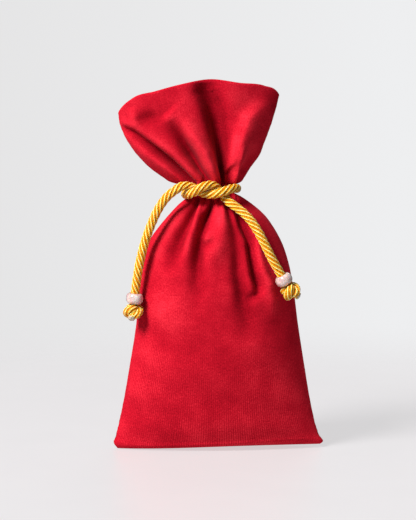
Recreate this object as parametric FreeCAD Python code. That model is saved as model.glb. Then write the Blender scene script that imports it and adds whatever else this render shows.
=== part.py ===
"""Velvet gift pouch, filled and standing, its neck tied by a twisted cord with a bead and an end knot on each tail.

Millimetres. +Z up, -Y is the front, +X is the right-hand side seen from the front.
The origin is the middle of the base, on the surface that the pouch stands on.
"""

import FreeCAD
import Part

import math
import os

Vector = FreeCAD.Vector

# Driving dimensions
CLOTH = 1.2  # thickness of one layer of velvet
HEM = 2.5  # wall above the neck, where the top is turned in and lies double
SEAM_ALLOWANCE = 6.0  # turned inwards along both sides and the bottom
CORD = 4.2  # diameter of the twisted cord
BEAD_WIDTH = 8.2
BEAD_LENGTH = 5.0
BEAD_BORE = CORD + 0.7  # the bead slides on the cord
BEAD_REST = 0.15  # between a bead and the end knot that it rests on
KNOT_WIDTH = 9.8
KNOT_LENGTH = 7.2
KNOT_FLAT = 0.45  # flattened at both ends of the cord
TIP_REACH = 5.0  # from the middle of an end knot to the cut end of the cord
THREAD = 0.4  # diameter of the sewing thread
STITCH = 2.4  # length of one stitch
STITCH_PITCH = 3.0
BOTTOM_SEAM_HEIGHT = 3.2
GAP = 0.4  # room left between pieces that move on each other

# Outer sections of the filled pouch: height, middle along X, half width, half depth, fullness.
# Fullness 2 is an ellipse, and less is more pointed at the side seams.
BODY = [
    (0.0, 0.0, 47.6, 8.4, 1.7),
    (3.4, 0.0, 50.0, 11.2, 1.7),
    (8.4, -0.9, 47.6, 13.6, 1.75),
    (22.0, -1.1, 44.6, 17.4, 1.85),
    (40.0, -1.0, 41.4, 20.8, 1.95),
    (60.0, -0.9, 38.2, 22.4, 2.0),
    (78.0, -1.1, 35.9, 22.2, 2.0),
    (90.0, -1.3, 33.6, 20.8, 2.0),
    (99.0, -1.3, 30.5, 18.8, 2.0),
    (106.0, -1.0, 26.3, 16.4, 2.0),
    (112.0, -1.0, 21.8, 13.8, 2.0),
    (117.0, -1.4, 17.0, 11.2, 2.0),
]
NECK = [
    (117.0, -1.4, 17.0, 11.2, 2.0),
    (119.6, -2.9, 11.6, 8.6, 2.0),
    (122.2, -3.4, 9.6, 7.6, 2.0),
    (124.6, -4.4, 11.4, 8.0, 2.0),
    (126.6, -6.6, 16.0, 8.8, 2.0),
    (129.0, -7.3, 18.7, 9.4, 2.0),
]
RUFFLE = [
    (129.0, -7.3, 18.7, 9.4, 2.0),
    (134.0, -8.5, 23.8, 10.0, 2.0),
    (140.0, -9.3, 29.0, 10.5, 2.0),
    (146.0, -10.3, 32.4, 10.8, 2.0),
    (154.0, -10.9, 35.4, 10.9, 2.0),
    (164.0, -10.1, 37.3, 11.0, 2.0),
    (180.0, -9.0, 39.0, 11.0, 2.0),
]
# Hollow under the neck and the open mouth over it, in the same terms
CAVITY_TOP = (114.0, -1.6, 9.0, 5.0, 2.0)
CAVITY_TOP_FROM = 106.0
MOUTH_FLOOR = (130.0, -7.4, 9.0, 2.6, 2.0)
MOUTH_FULL_FROM = 134.0
FILLED_TO = 100.0
FILLING_TOP = (105.0, -1.1, 12.0, 8.0, 2.0)
# Top edge of the ruffle seen from the front, from its left tip over the peak to its right tip: X, Z
TOP_EDGE = [
    (-52.0, 152.0),
    (-47.6, 162.2),
    (-41.0, 167.0),
    (-30.0, 170.4),
    (-18.0, 173.6),
    (-4.0, 176.0),
    (10.0, 174.3),
    (22.0, 173.0),
    (28.4, 170.2),
    (34.0, 160.0),
]

# Routes of the cord's middle line. It runs from the left tail through the half knot, round the neck,
# through the half knot again and into the right tail.
NECK_ROUTE = [
    (-18.5, -12.4, 124.4),
    (-16.8, -11.6, 125.0),
    (-12.8, -9.4, 124.6),
    (-8.4, -9.9, 120.6),
    (-3.2, -13.9, 119.7),
    (1.2, -15.0, 122.5),
    (6.0, -12.3, 123.9),
    (9.0, -6.0, 123.4),
    (8.0, 2.6, 123.0),
    (3.2, 9.0, 122.6),
    (-4.2, 10.9, 122.0),
    (-11.4, 8.4, 121.2),
    (-15.3, 1.6, 120.4),
    (-15.8, -6.4, 119.6),
    (-13.0, -13.6, 120.6),
    (-8.4, -15.3, 124.8),
    (-3.2, -12.2, 126.4),
    (0.2, -9.3, 122.8),
    (3.0, -11.5, 119.0),
]
LEFT_ROUTE = [
    (-20.6, -12.9, 123.0),
    (-24.2, -13.5, 120.3),
    (-28.1, -13.9, 115.0),
    (-31.6, -13.9, 107.4),
    (-34.9, -13.5, 98.2),
    (-37.3, -12.9, 88.4),
    (-39.0, -12.3, 78.4),
    (-40.0, -11.9, 68.5),
]
RIGHT_ROUTE = [
    (4.2, -13.1, 117.6),
    (8.0, -15.3, 115.0),
    (12.9, -17.2, 110.8),
    (17.2, -18.2, 105.0),
    (21.1, -18.5, 98.0),
    (24.8, -18.3, 90.9),
    (28.5, -17.8, 84.1),
    (32.0, -17.3, 78.0),
]
# Where the cut end of each cord comes out of its end knot
LEFT_TIP_WAY = Vector(0.1, -0.62, -0.78)
RIGHT_TIP_WAY = Vector(0.84, -0.2, -0.5)


def section(height, middle, half_width, half_depth, fullness, points=24):
    """Closed smooth outline of the pouch at one height."""
    outline = []
    for i in range(points):
        turn = 2 * math.pi * i / points
        across, deep = math.cos(turn), math.sin(turn)
        outline.append(
            Vector(
                middle + half_width * math.copysign(abs(across) ** (2 / fullness), across),
                half_depth * math.copysign(abs(deep) ** (2 / fullness), deep),
                height,
            )
        )
    curve = Part.BSplineCurve()
    curve.interpolate(Points=outline, PeriodicFlag=True)
    return Part.Wire(curve.toShape())


def lofted(stations):
    return Part.makeLoft([section(*s) for s in stations], True, False)


def inset(stations, wall):
    return [(z, middle, a - wall, b - wall, n) for z, middle, a, b, n in stations]


def at_height(stations, height):
    """Middle, half width, half depth and fullness of a profile at a height between its stations."""
    for low, high in zip(stations, stations[1:]):
        if low[0] <= height <= high[0]:
            share = (height - low[0]) / (high[0] - low[0])
            return [p + share * (q - p) for p, q in zip(low[1:], high[1:])]
    raise ValueError(f"no section at {height}")


def pouch_outside():
    """The whole pouch as one body, trimmed along the ruffle's top edge."""
    whole = lofted(BODY).fuse([lofted(NECK), lofted(RUFFLE)])
    edge = Part.BSplineCurve()
    edge.interpolate(Points=[Vector(x, -30, z) for x, z in TOP_EDGE])
    (x0, z0), (x1, z1) = TOP_EDGE[0], TOP_EDGE[-1]
    above = 200
    corners = [Vector(x1, -30, z1), Vector(70, -30, z1), Vector(70, -30, above)]
    corners += [Vector(-70, -30, above), Vector(-70, -30, z0), Vector(x0, -30, z0)]
    sides = [Part.LineSegment(a, b).toShape() for a, b in zip(corners, corners[1:])]
    cutter = Part.Face(Part.Wire([edge.toShape()] + sides)).extrude(Vector(0, 60, 0))
    return whole.cut(cutter)


def cavity(wall=CLOTH, floor=CLOTH):
    """The closed hollow from the base to the gathered neck, set in by a wall from the outside."""
    stations = inset([(floor, *at_height(BODY, floor))], wall)
    stations += [s for s in inset(BODY, wall) if floor + 1 < s[0] <= CAVITY_TOP_FROM]
    return lofted(stations + [CAVITY_TOP])


def mouth():
    """The open funnel over the gathered neck."""
    stations = [s for s in inset(RUFFLE, HEM) if s[0] >= MOUTH_FULL_FROM]
    return lofted([MOUTH_FLOOR] + stations)


def half_space(front, depth=60.0):
    """A block that holds the front half, or the back half, of the pouch."""
    return Part.makeBox(160, depth, 220, Vector(-80, -depth if front else 0, -10))


def seam_flange(front):
    """Seam allowance of one panel: a strip inside both sides and the bottom, against the other panel's."""
    low = SEAM_ALLOWANCE + CLOTH
    inner = [s for s in BODY if low < s[0] <= CAVITY_TOP_FROM]
    window = [(low, *at_height(BODY, low))] + inner + [(CAVITY_TOP[0] + 1, *CAVITY_TOP[1:])]
    window = [(z, m, a - SEAM_ALLOWANCE - CLOTH, b, n) for z, m, a, b, n in window]
    strip = Part.makeBox(160, CLOTH, 130, Vector(-80, -CLOTH if front else 0, 0))
    return cavity().common(strip).cut(lofted(window))


def panel(outside, front):
    """One velvet panel: half of the pouch's wall, its turned-in top and its seam allowance."""
    wall = outside.cut(cavity()).cut(mouth()).common(half_space(front))
    return wall.fuse(seam_flange(front)).removeSplitter()


def filling():
    """Soft stuffing that keeps the pouch standing, clear of the walls and the seam allowances."""
    side, depth = CLOTH + SEAM_ALLOWANCE + GAP, CLOTH + 2 * GAP
    low = side
    chosen = [(low, *at_height(BODY, low))] + [s for s in BODY if 20 <= s[0] <= FILLED_TO]
    stations = [(z, m, a - side, b - depth, n) for z, m, a, b, n in chosen]
    return lofted(stations + [FILLING_TOP])


def rounded_path(points):
    """Straight runs joined by tangent arcs as large as their runs allow. Returns the wire and the radii."""
    points = [Vector(*p) for p in points]
    edges, radii, start = [], [], points[0]
    for before, corner, after in zip(points, points[1:], points[2:]):
        back, ahead = before - corner, after - corner
        turn = math.pi - back.getAngle(ahead)
        reach = 0.45 * min(back.Length, ahead.Length)
        radii.append(reach / math.tan(turn / 2))
        back.normalize()
        ahead.normalize()
        first, last = corner + back * reach, corner + ahead * reach
        bisector = back + ahead
        bisector.normalize()
        sagitta = radii[-1] * (1 / math.cos(turn / 2) - 1)
        edges.append(Part.LineSegment(start, first).toShape())
        edges.append(Part.Arc(first, corner + bisector * sagitta, last).toShape())
        start = last
    edges.append(Part.LineSegment(start, points[-1]).toShape())
    return Part.Wire(edges), radii


def tube(points, name):
    """The cord along a route, with its volume checked against section times length."""
    path, radii = rounded_path(points)
    heading = Vector(*points[1]) - Vector(*points[0])
    ring = Part.Wire(Part.makeCircle(CORD / 2, Vector(*points[0]), heading))
    solid = path.makePipeShell([ring], True, True)
    expected = math.pi * CORD**2 / 4 * path.Length
    print(
        f"{name}: {path.Length:.1f} mm long, radii {min(radii):.1f} to {max(radii):.1f} mm,",
        f"volume {solid.Volume / expected:.3f} of section times length, valid {solid.isValid()}",
    )
    return solid


def on_line(shape, place, heading):
    """Moves a shape built on the Z axis at the origin to a place, with Z along a heading."""
    moved = shape.copy()
    turn = FreeCAD.Placement(place, FreeCAD.Rotation(Vector(0, 0, 1), heading))
    moved.Placement = turn.multiply(moved.Placement)
    return moved


def tail_end(route):
    """Where a tail's cord ends in its end knot, and the direction of its last stretch."""
    end, before = Vector(*route[-1]), Vector(*route[-2])
    heading = end - before
    heading.normalize()
    return end, heading


def tail(route, name):
    """Free cord from its pivot at the half knot to its end knot, with a round head at the pivot."""
    cord = tube(route, name)
    return cord.fuse(Part.makeSphere(CORD / 2, Vector(*route[0])))


def bead():
    """Flattened round bead with a bore along Z, centred on the origin."""
    round_off = BEAD_LENGTH / 2
    profile = Part.Wire(
        [
            Part.LineSegment(
                Vector(BEAD_BORE / 2, 0, -round_off * 0.8), Vector(BEAD_BORE / 2, 0, round_off * 0.8)
            ).toShape(),
            Part.Arc(
                Vector(BEAD_BORE / 2, 0, round_off * 0.8),
                Vector(BEAD_BORE / 2 + 0.35, 0, round_off),
                Vector(BEAD_BORE / 2 + 0.7, 0, round_off * 0.97),
            ).toShape(),
            Part.Arc(
                Vector(BEAD_BORE / 2 + 0.7, 0, round_off * 0.97),
                Vector(BEAD_WIDTH / 2, 0, 0),
                Vector(BEAD_BORE / 2 + 0.7, 0, -round_off * 0.97),
            ).toShape(),
            Part.Arc(
                Vector(BEAD_BORE / 2 + 0.7, 0, -round_off * 0.97),
                Vector(BEAD_BORE / 2 + 0.35, 0, -round_off),
                Vector(BEAD_BORE / 2, 0, -round_off * 0.8),
            ).toShape(),
        ]
    )
    return Part.Face(profile).revolve(Vector(0, 0, 0), Vector(0, 0, 1), 360)


def end_knot():
    """Plain outer shape of an overhand knot, its upper face on the origin and its body along +Z."""
    ball = Part.makeSphere(KNOT_WIDTH / 2)
    squash = FreeCAD.Matrix()
    squash.scale(1, 1, (KNOT_LENGTH + 2 * KNOT_FLAT) / KNOT_WIDTH)
    slab = Part.makeBox(2 * KNOT_WIDTH, 2 * KNOT_WIDTH, KNOT_LENGTH)
    slab.translate(Vector(-KNOT_WIDTH, -KNOT_WIDTH, -KNOT_LENGTH / 2))
    knot = ball.transformGeometry(squash).common(slab)
    knot.translate(Vector(0, 0, KNOT_LENGTH / 2))
    return knot


def cord_tip(knot, middle, way):
    """Cut end of the cord, from the end knot's surface outwards."""
    return Part.makeCylinder(CORD / 2, TIP_REACH, middle, way).cut(knot)


def stitch(place, along, through, depth):
    """One lockstitch: a thread down through the cloth at one end and a run on each side of it."""
    r = THREAD / 2
    along, through = Vector(along), Vector(through)
    along.normalize()
    through.normalize()
    top, bottom = place + through * (depth / 2), place - through * (depth / 2)
    run = STITCH - THREAD
    down = Part.makeCylinder(r, depth, bottom, through)
    over = Part.makeCylinder(r, run, top, along)
    under = Part.makeCylinder(r, run, bottom, along)
    return down.fuse([over, under])


def stitch_row(line, depth, through):
    """Stitches set along a line of points, one every STITCH_PITCH."""
    made, carried = [], 0.0
    for a, b in zip(line, line[1:]):
        run = b - a
        at = carried
        while at + STITCH < run.Length:
            made.append(stitch(a + run * (at / run.Length), run, through, depth))
            at += STITCH_PITCH
        carried = max(0.0, at - run.Length)
    return Part.makeCompound(made)


def side_stitches(sign):
    """Thread of a side seam, just inside the panel's wall."""
    inset_by = CLOTH + 1.6
    line = [
        Vector(m + sign * (a - inset_by), 0, z)
        for z, m, a, b, n in BODY
        if 8 <= z <= CAVITY_TOP_FROM
    ]
    return stitch_row(line, 2 * CLOTH, Vector(0, 1, 0))


def bottom_stitches():
    """Thread of the bottom seam, just above the base."""
    middle, half_width, *_ = at_height(BODY, BOTTOM_SEAM_HEIGHT)
    reach = half_width - 5
    line = [Vector(middle - reach, 0, BOTTOM_SEAM_HEIGHT), Vector(middle + reach, 0, BOTTOM_SEAM_HEIGHT)]
    return stitch_row(line, 2 * CLOTH, Vector(0, 1, 0))


def hem_stitches(count=14):
    """Thread of the turned-in top, in the groove that the cord covers."""
    z, middle, a, b, _ = NECK[2]
    sunk = THREAD / 2 + 0.05
    made = []
    for i in range(count):
        turn = 2 * math.pi * (i + 0.5) / count
        place = Vector(middle + (a - sunk) * math.cos(turn), (b - sunk) * math.sin(turn), z)
        along = Vector(-a * math.sin(turn), b * math.cos(turn), 0)
        along.normalize()
        half = STITCH / 2 - THREAD
        made.append(Part.makeCylinder(THREAD / 2, 2 * half, place - along * half, along))
    return Part.makeCompound(made)


def build():
    outside = pouch_outside()
    parts = {
        "front_panel": panel(outside, True),
        "back_panel": panel(outside, False),
        "left_side_stitches": side_stitches(-1),
        "right_side_stitches": side_stitches(1),
        "bottom_stitches": bottom_stitches(),
        "hem_stitches": hem_stitches(),
        "filling": filling(),
        "neck_cord": tube(NECK_ROUTE, "neck_cord"),
    }
    sides = (("left", LEFT_ROUTE, LEFT_TIP_WAY), ("right", RIGHT_ROUTE, RIGHT_TIP_WAY))
    for side, route, tip_way in sides:
        end, heading = tail_end(route)
        bead_middle = end - heading * (BEAD_LENGTH / 2 + BEAD_REST)
        knot = on_line(end_knot(), end, heading)
        parts[f"{side}_cord_tail"] = tail(route, f"{side}_cord_tail")
        parts[f"{side}_bead"] = on_line(bead(), bead_middle, heading)
        parts[f"{side}_end_knot"] = knot
        parts[f"{side}_cord_tip"] = cord_tip(knot, end + heading * (KNOT_LENGTH / 2), tip_way)
        print(f"{side} tail ends at {end}, heading {heading}")
    return parts


def main():
    os.makedirs("parts", exist_ok=True)
    for name, shape in build().items():
        shape.exportStep(f"parts/{name}.step")
        print(f"{name}: {len(shape.Solids)} solids, {shape.Volume:.1f} mm3, valid {shape.isValid()}")


main()
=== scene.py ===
"""A tied velvet gift pouch: gathered cloth panels, a twisted cord with two beaded tails, and filling."""

import math

import bpy
import numpy as np
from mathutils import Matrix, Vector


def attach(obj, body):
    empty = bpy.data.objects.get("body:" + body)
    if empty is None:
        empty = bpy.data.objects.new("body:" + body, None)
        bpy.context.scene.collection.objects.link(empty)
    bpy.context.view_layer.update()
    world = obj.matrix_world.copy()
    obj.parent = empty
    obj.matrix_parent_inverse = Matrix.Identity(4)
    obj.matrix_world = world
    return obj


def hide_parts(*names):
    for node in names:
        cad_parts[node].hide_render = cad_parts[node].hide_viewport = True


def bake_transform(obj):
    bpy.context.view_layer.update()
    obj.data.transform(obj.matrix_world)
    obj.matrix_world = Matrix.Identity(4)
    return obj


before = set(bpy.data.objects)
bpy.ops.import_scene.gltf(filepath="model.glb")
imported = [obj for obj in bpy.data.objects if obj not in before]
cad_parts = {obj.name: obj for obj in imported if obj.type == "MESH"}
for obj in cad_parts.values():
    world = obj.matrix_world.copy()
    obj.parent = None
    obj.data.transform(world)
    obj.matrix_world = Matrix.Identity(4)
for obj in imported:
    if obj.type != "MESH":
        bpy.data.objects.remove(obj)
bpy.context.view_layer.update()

MM = 0.001

# ---------------------------------------------------------------- profile of the pouch, in mm
# Height, middle, half width, half depth, and fullness: 2 is an ellipse, less is narrower at the sides
PROFILE = [
    (3.4, -0.5, 50.1, 11.2, 1.7),
    (5.8, -0.45, 49.0, 12.4, 1.72),
    (8.4, -0.5, 48.3, 13.6, 1.75),
    (22.0, -0.55, 45.15, 17.4, 1.85),
    (40.0, -0.5, 41.9, 20.8, 1.95),
    (60.0, -0.5, 38.7, 22.4, 2.0),
    (78.0, -1.0, 36.8, 22.2, 2.0),
    (90.0, -1.4, 34.8, 20.8, 2.0),
    (99.0, -1.5, 31.8, 18.8, 2.0),
    (106.0, -1.0, 27.5, 16.4, 2.0),
    (112.0, -0.7, 22.8, 13.8, 2.0),
    (117.0, -1.2, 17.6, 11.0, 2.0),
    (120.4, -1.7, 13.2, 9.0, 2.0),
    (123.3, -3.2, 9.8, 7.3, 2.0),
    (125.7, -4.6, 11.6, 7.8, 2.0),
    (127.5, -5.9, 16.8, 8.8, 2.0),
    (129.6, -6.8, 19.4, 9.4, 2.0),
    (134.0, -8.5, 23.8, 10.0, 2.0),
    (140.0, -9.3, 29.0, 10.5, 2.0),
    (146.0, -10.3, 32.4, 10.8, 2.0),
    (154.0, -10.7, 35.8, 10.9, 2.0),
    (164.0, -9.9, 38.0, 11.0, 2.0),
    (180.0, -8.6, 39.9, 11.0, 2.0),
]
# X and height of points on the top edge
TOP_EDGE = [
    (-52.0, 152.0),
    (-47.6, 160.8),
    (-41.0, 167.0),
    (-30.0, 170.4),
    (-18.0, 173.6),
    (-4.0, 176.0),
    (10.0, 174.3),
    (22.0, 173.0),
    (28.4, 170.2),
    (34.0, 160.0),
]
EDGE_START = 170.0
EDGE_ROUNDS = 30
BACK_EDGE_DROP = 2.4
COLUMNS = 181
BODY_ROWS = 150
NECK_ROWS = 36
RUFFLE_ROWS = 66
NECK_FROM = 117.0
RUFFLE_FROM = 129.0

# The base closes in from this height down to the bottom seam
BASE_TOP = 3.4
BASE_FULLNESS = 2.6
BASE_SHRINK = 1.2
BASE_ROWS = 14

# Corners: places are shares of the half width, sizes are in mm
CORNER_FROM = 0.82
EAR = 1.9
EAR_HEIGHT = 1.2
EAR_SPREAD = 1.7
LEFT_CORNER = 0.7
LEFT_CORNER_SPREAD = 1.6

# The base rises to the right: in front by at most this much, at the seams by less, behind not at all
LIFT = 3.6
LIFT_ACROSS = (-50, 70)
LIFT_HEIGHT = 16
LIFT_DEPTH = 8
SEAM_LIFT = 0.45

# The top edge rolls over and goes down again inside the mouth
HEM_ROLL = 1.15
ROLL_POINTS = 9
LINING_GAP = 0.3

# Side seams: a narrow groove, puckered by two waves (size, radians for each mm of height)
SEAM_WIDTH = 1.1
SEAM_GROOVE = 0.45
SEAM_PUCKERS = ((0.12, 0.9), (0.08, 2.3))

# Height at which the flat width of the cloth is measured
FLAT_LEVEL = 40

# ---------------------------------------------------------------- creases, in mm
# A crease is a line of points (height, X, depth or rise, half width), and how soft it is on its left
# and on its right, and how high a lip it has on its right.
EVEN = (1, 1, 0)
FRONT_VALLEYS = [
    ([(176, -7.5, 1.2, 5), (170, -8, 3, 4.5), (163.5, -4.8, 4.2, 4.2), (155.5, -2.6, 5, 3.8),
      (147.6, -1, 5.2, 3.2), (139.6, 0.6, 5, 2.4), (131.6, 1.9, 4.2, 1.5), (126.3, 2.2, 3.4, 1.1),
      (122, 2.4, 3, 0.9)], (1, 1.3, 0)),
    ([(122, 2.4, 3, 0.9), (118, 3, 2.6, 1), (112, 4.5, 1.6, 1.6), (105, 6.5, 1, 2.4), (96, 7.5, 1.2, 3),
      (88, 7.6, 1.8, 3.2), (76, 9.6, 1.9, 3.6), (64.6, 11.6, 0.8, 4.5), (52, 12.5, 0, 5)], EVEN),
    ([(136, 5.4, 0, 1), (133.5, 5, 1.8, 1), (131.6, 4.8, 2.8, 1.1), (129, 4.9, 2.4, 1),
      (126, 5.3, 2.2, 0.8), (122, 5.6, 2.2, 0.7), (118, 7, 2, 0.9), (113, 9, 1.8, 1.4),
      (107.5, 10.9, 2.4, 1.5), (100.8, 14.3, 2.6, 1.5), (94, 14.9, 2.6, 1.5), (85.4, 16.3, 2.8, 1.6),
      (79.3, 18.3, 2.2, 1.8), (75.5, 19.5, 0, 2)], (1.3, 0.9, 0.3)),
    ([(76.8, 20.3, 0, 2.2), (75.6, 17, 1.1, 2.2), (74.4, 14.5, 0.9, 2.2), (73.3, 11.6, 0, 2.2)], EVEN),
    ([(162, -26, 0, 6), (157, -24, 0.5, 5), (152.9, -21.2, 1.4, 4.2), (147.6, -18, 2.6, 3),
      (141.2, -13.8, 3.2, 2.6), (134.3, -9.5, 3, 1.8), (129, -5.3, 2.6, 1.2), (125, -4.3, 2.4, 0.8),
      (122, -4, 2.4, 0.7), (118.5, -3.4, 3, 0.9), (114.2, -5.2, 3.4, 1.4), (110.2, -7.2, 3.2, 1.8),
      (104.2, -9.2, 2.7, 2.2), (97.5, -10.6, 2.4, 2.4), (90.7, -11.2, 2.1, 2.8),
      (82.7, -11.9, 1.5, 3.4), (72, -12.5, 0.5, 4.5), (62, -13, 0, 5)], EVEN),
    ([(153.4, -45.6, 0.8, 1.2), (151.3, -40.3, 1.4, 1.4), (147, -35, 2, 1.6), (142.3, -28.7, 2.8, 1.6),
      (138, -23.3, 3.2, 1.6), (133.2, -18, 3.2, 1.5), (127.4, -11.7, 3, 1.2), (124, -10.6, 2.6, 0.8)],
     (1.7, 0.7, 0.4)),
    ([(124, -10.6, 2.6, 0.8), (121, -10.4, 2.4, 0.8), (118.9, -10.6, 2.6, 1), (114.2, -12.6, 2.9, 1.7),
      (108.2, -15.3, 2.8, 2.5), (100.8, -20.0, 2.2, 3.2), (94, -22.6, 1.3, 3.8), (84, -24.5, 0, 4)], EVEN),
    ([(132, -7.0, 0, 0.8), (127, -7.4, 1.2, 0.7), (120, -7.2, 1.4, 0.7), (114, -8.6, 0, 1)], EVEN),
    ([(132, -0.6, 0, 0.8), (127, -0.8, 1.0, 0.6), (120, -0.4, 1.2, 0.7), (112, 0.2, 0, 1)], EVEN),
    ([(131, 8.2, 0, 0.8), (126, 8, 1.2, 0.7), (119, 8.6, 1.3, 0.8), (111, 12, 0, 1.4)], EVEN),
]
FRONT_RIDGES = [
    ([(161, -26, 0, 5), (159.3, -24.4, 1, 5), (153.9, -17, 1.8, 4.5), (147.6, -11.7, 2.6, 4),
      (141.2, -7.4, 3, 3.4), (134.3, -4.2, 2.6, 2.6), (128.5, -1.6, 1.6, 1.8), (124, -0.9, 0.4, 1.4),
      (120, -0.6, 0.3, 1.2), (114.2, 0.2, 1.6, 3), (108.2, 0.2, 1.8, 4), (99.5, -1.8, 1.4, 4.5),
      (90.7, -5.9, 0.8, 5), (80, -8, 0, 6)], EVEN),
    ([(165, 24, 0, 5), (160.3, 16.5, 1.6, 4.2), (157.1, 12.7, 2.4, 3.9), (147.6, 8.8, 3.3, 3.3),
      (139.1, 5.9, 3, 2.2), (133.8, 4.0, 1.8, 1.2), (129, 3.6, 0.9, 0.8), (125, 3.6, 0, 0.8)], (1, 2.1, 0)),
    ([(146, 10, 0, 2.4), (141, 9, 1, 1.8), (134.3, 7.6, 1.6, 1.2), (130, 6.9, 1.6, 1.1),
      (125.8, 6.6, 0.6, 1)], EVEN),
    ([(120, -7.6, 0.2, 1), (117.6, -8.6, 1.2, 1.4), (112.9, -11.3, 1.8, 1.8), (107.5, -13.3, 1.8, 2.2),
      (102.8, -14.8, 1.6, 2.4), (96.1, -16.6, 1.2, 3), (88.1, -20.3, 0.6, 4), (80, -22, 0, 5)], EVEN),
    ([(116, -15, 0.6, 2.5), (113.6, -18.6, 1.2, 3.5), (106.2, -24, 1.2, 4), (96.1, -29, 0.6, 4.5),
      (88, -31, 0, 5)], EVEN),
    ([(86, 20.5, 0.3, 2), (80, 22.3, 1, 2.4), (72.6, 23.7, 1, 3), (62, 24.5, 0, 4)], EVEN),
    ([(147, -41, 0.3, 3), (141, -33.5, 1.2, 2.8), (135, -25, 1.6, 2.4), (129, -18, 1.2, 1.8),
      (125, -15, 0.3, 1.2)], EVEN),
    ([(163, -41.5, 0, 2.5), (158, -40.3, 0.9, 2.2), (153, -39, 0.3, 2.2)], EVEN),
    ([(161, -26, 0, 2.5), (157, -24.4, 0.7, 2.4), (152, -22, 0, 2.4)], EVEN),
    ([(100.4, -8.8, 0, 1.7), (102.3, -6.2, 1.3, 1.7), (103.5, -3.0, 0, 1.7)], EVEN),
]
BACK_VALLEYS = [
    ([(175, -14, 0.8, 5), (165, -12.5, 2.4, 4.5), (154, -10.5, 3.8, 4), (143, -8.4, 4.4, 3),
      (134, -6.6, 3.8, 2), (127, -5.6, 2.6, 1.1), (122, -5.2, 2.2, 0.8), (117, -5.6, 2.2, 1),
      (110, -7, 1.8, 1.8), (100, -9.2, 1.4, 2.8), (88, -11, 0.8, 4), (74, -12, 0, 5)], EVEN),
    ([(168, 9, 0, 5), (158, 7, 1.8, 4.4), (147, 4.4, 3.2, 3.4), (138, 2, 3.6, 2.4),
      (129, 0.4, 2.8, 1.3), (122, 0.2, 2.2, 0.8), (116, 1, 2.4, 1.1), (107, 3.4, 2.2, 2),
      (96, 5.8, 1.8, 2.8), (84, 7.4, 1, 3.8), (70, 8.4, 0, 5)], (1.2, 0.9, 0.2)),
    ([(160, -34, 0, 4), (152, -29, 1.6, 3.4), (144, -23.4, 2.6, 2.6), (136, -16.4, 3, 1.9),
      (129, -11.4, 2.6, 1.2), (122, -10, 2, 0.8), (116, -12, 2.2, 1.3), (108, -15.6, 1.8, 2.2),
      (98, -19.4, 1, 3.2), (86, -22, 0, 4)], EVEN),
    ([(150, 16.4, 0, 3), (142, 12.8, 1.6, 2.4), (134, 8, 2.4, 1.6), (127, 4.6, 2, 1),
      (122, 3.9, 1.8, 0.8), (116, 6.2, 2, 1.2), (108, 10.4, 2, 2), (98, 14.2, 1.6, 2.8),
      (88, 16.6, 0.8, 3.4), (78, 18, 0, 4)], (1, 1.2, 0.2)),
]
BACK_RIDGES = [
    ([(162, -22, 0, 5), (152, -17.6, 1.6, 4.4), (142, -13, 2.2, 3.2), (132, -8.8, 1.6, 1.8),
      (126, -7.6, 0.4, 1)], EVEN),
    ([(164, -3, 0, 5), (152, -2.4, 2, 4.2), (141, -2.8, 2.2, 3), (131, -2.8, 1.2, 1.6),
      (125, -2.6, 0.3, 1)], EVEN),
    ([(158, 15, 0, 4.6), (149, 11.6, 1.6, 4), (140, 7.2, 1.8, 2.6), (131, 3.2, 1, 1.4)], EVEN),
    ([(118, -2.4, 0.5, 1.4), (110, -2.2, 1.6, 3), (99, -2, 1.3, 4.4), (86, -2.6, 0, 6)], EVEN),
    ([(117, 3.6, 0.5, 1.2), (109, 7.2, 1.4, 2), (99, 10.4, 1.1, 3), (88, 12.4, 0, 4)], EVEN),
    ([(117, -9.4, 0.5, 1.2), (108, -12, 1.5, 2.2), (97, -15.4, 0.9, 3.4), (84, -18, 0, 5)], EVEN),
]
# Dents: X, height, half width, half height, depth
FRONT_DENTS = [(-32.9, 157.7, 4.5, 3.2, 1.0), (-5.9, 98.8, 2.2, 2.2, 0.9)]
BACK_DENTS = [(12, 163, 5, 3.4, 1.0), (-8, 60, 12, 9, 0.8)]

# Each crease lies to the right of its listed X by this share of its half width
CREASE_SHIFT = 0.3

# A lip's distance from its crease and its width, as shares of the crease's half width
LIP_AWAY = 2.2
LIP_WIDTH = 1.4

# The listed depths are multiplied by these in the ruffle and in the body
RUFFLE_GAIN = 1.8
RUFFLE_GAIN_OVER = (125, 135)
BODY_GAIN = 1.7
BODY_GAIN_UNTIL = (112, 119)

# Slow unevenness of the stuffed cloth
WAVES = 9
WAVE_LENGTHS = (16, 46)
BODY_WAVES = 0.45
BODY_WAVES_OVER = (4, 25)
BODY_WAVES_UNTIL = (100, 118)
RUFFLE_WAVES = 0.3
RUFFLE_WAVES_OVER = (134, 150)
FRONT_SEED = 3
BACK_SEED = 11
RUFFLE_SEED_STEP = 7

# Creases fade out this close to a side seam
SEAM_MARGIN = 3.0
SEAM_MARGIN_SHARE = 0.2

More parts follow.
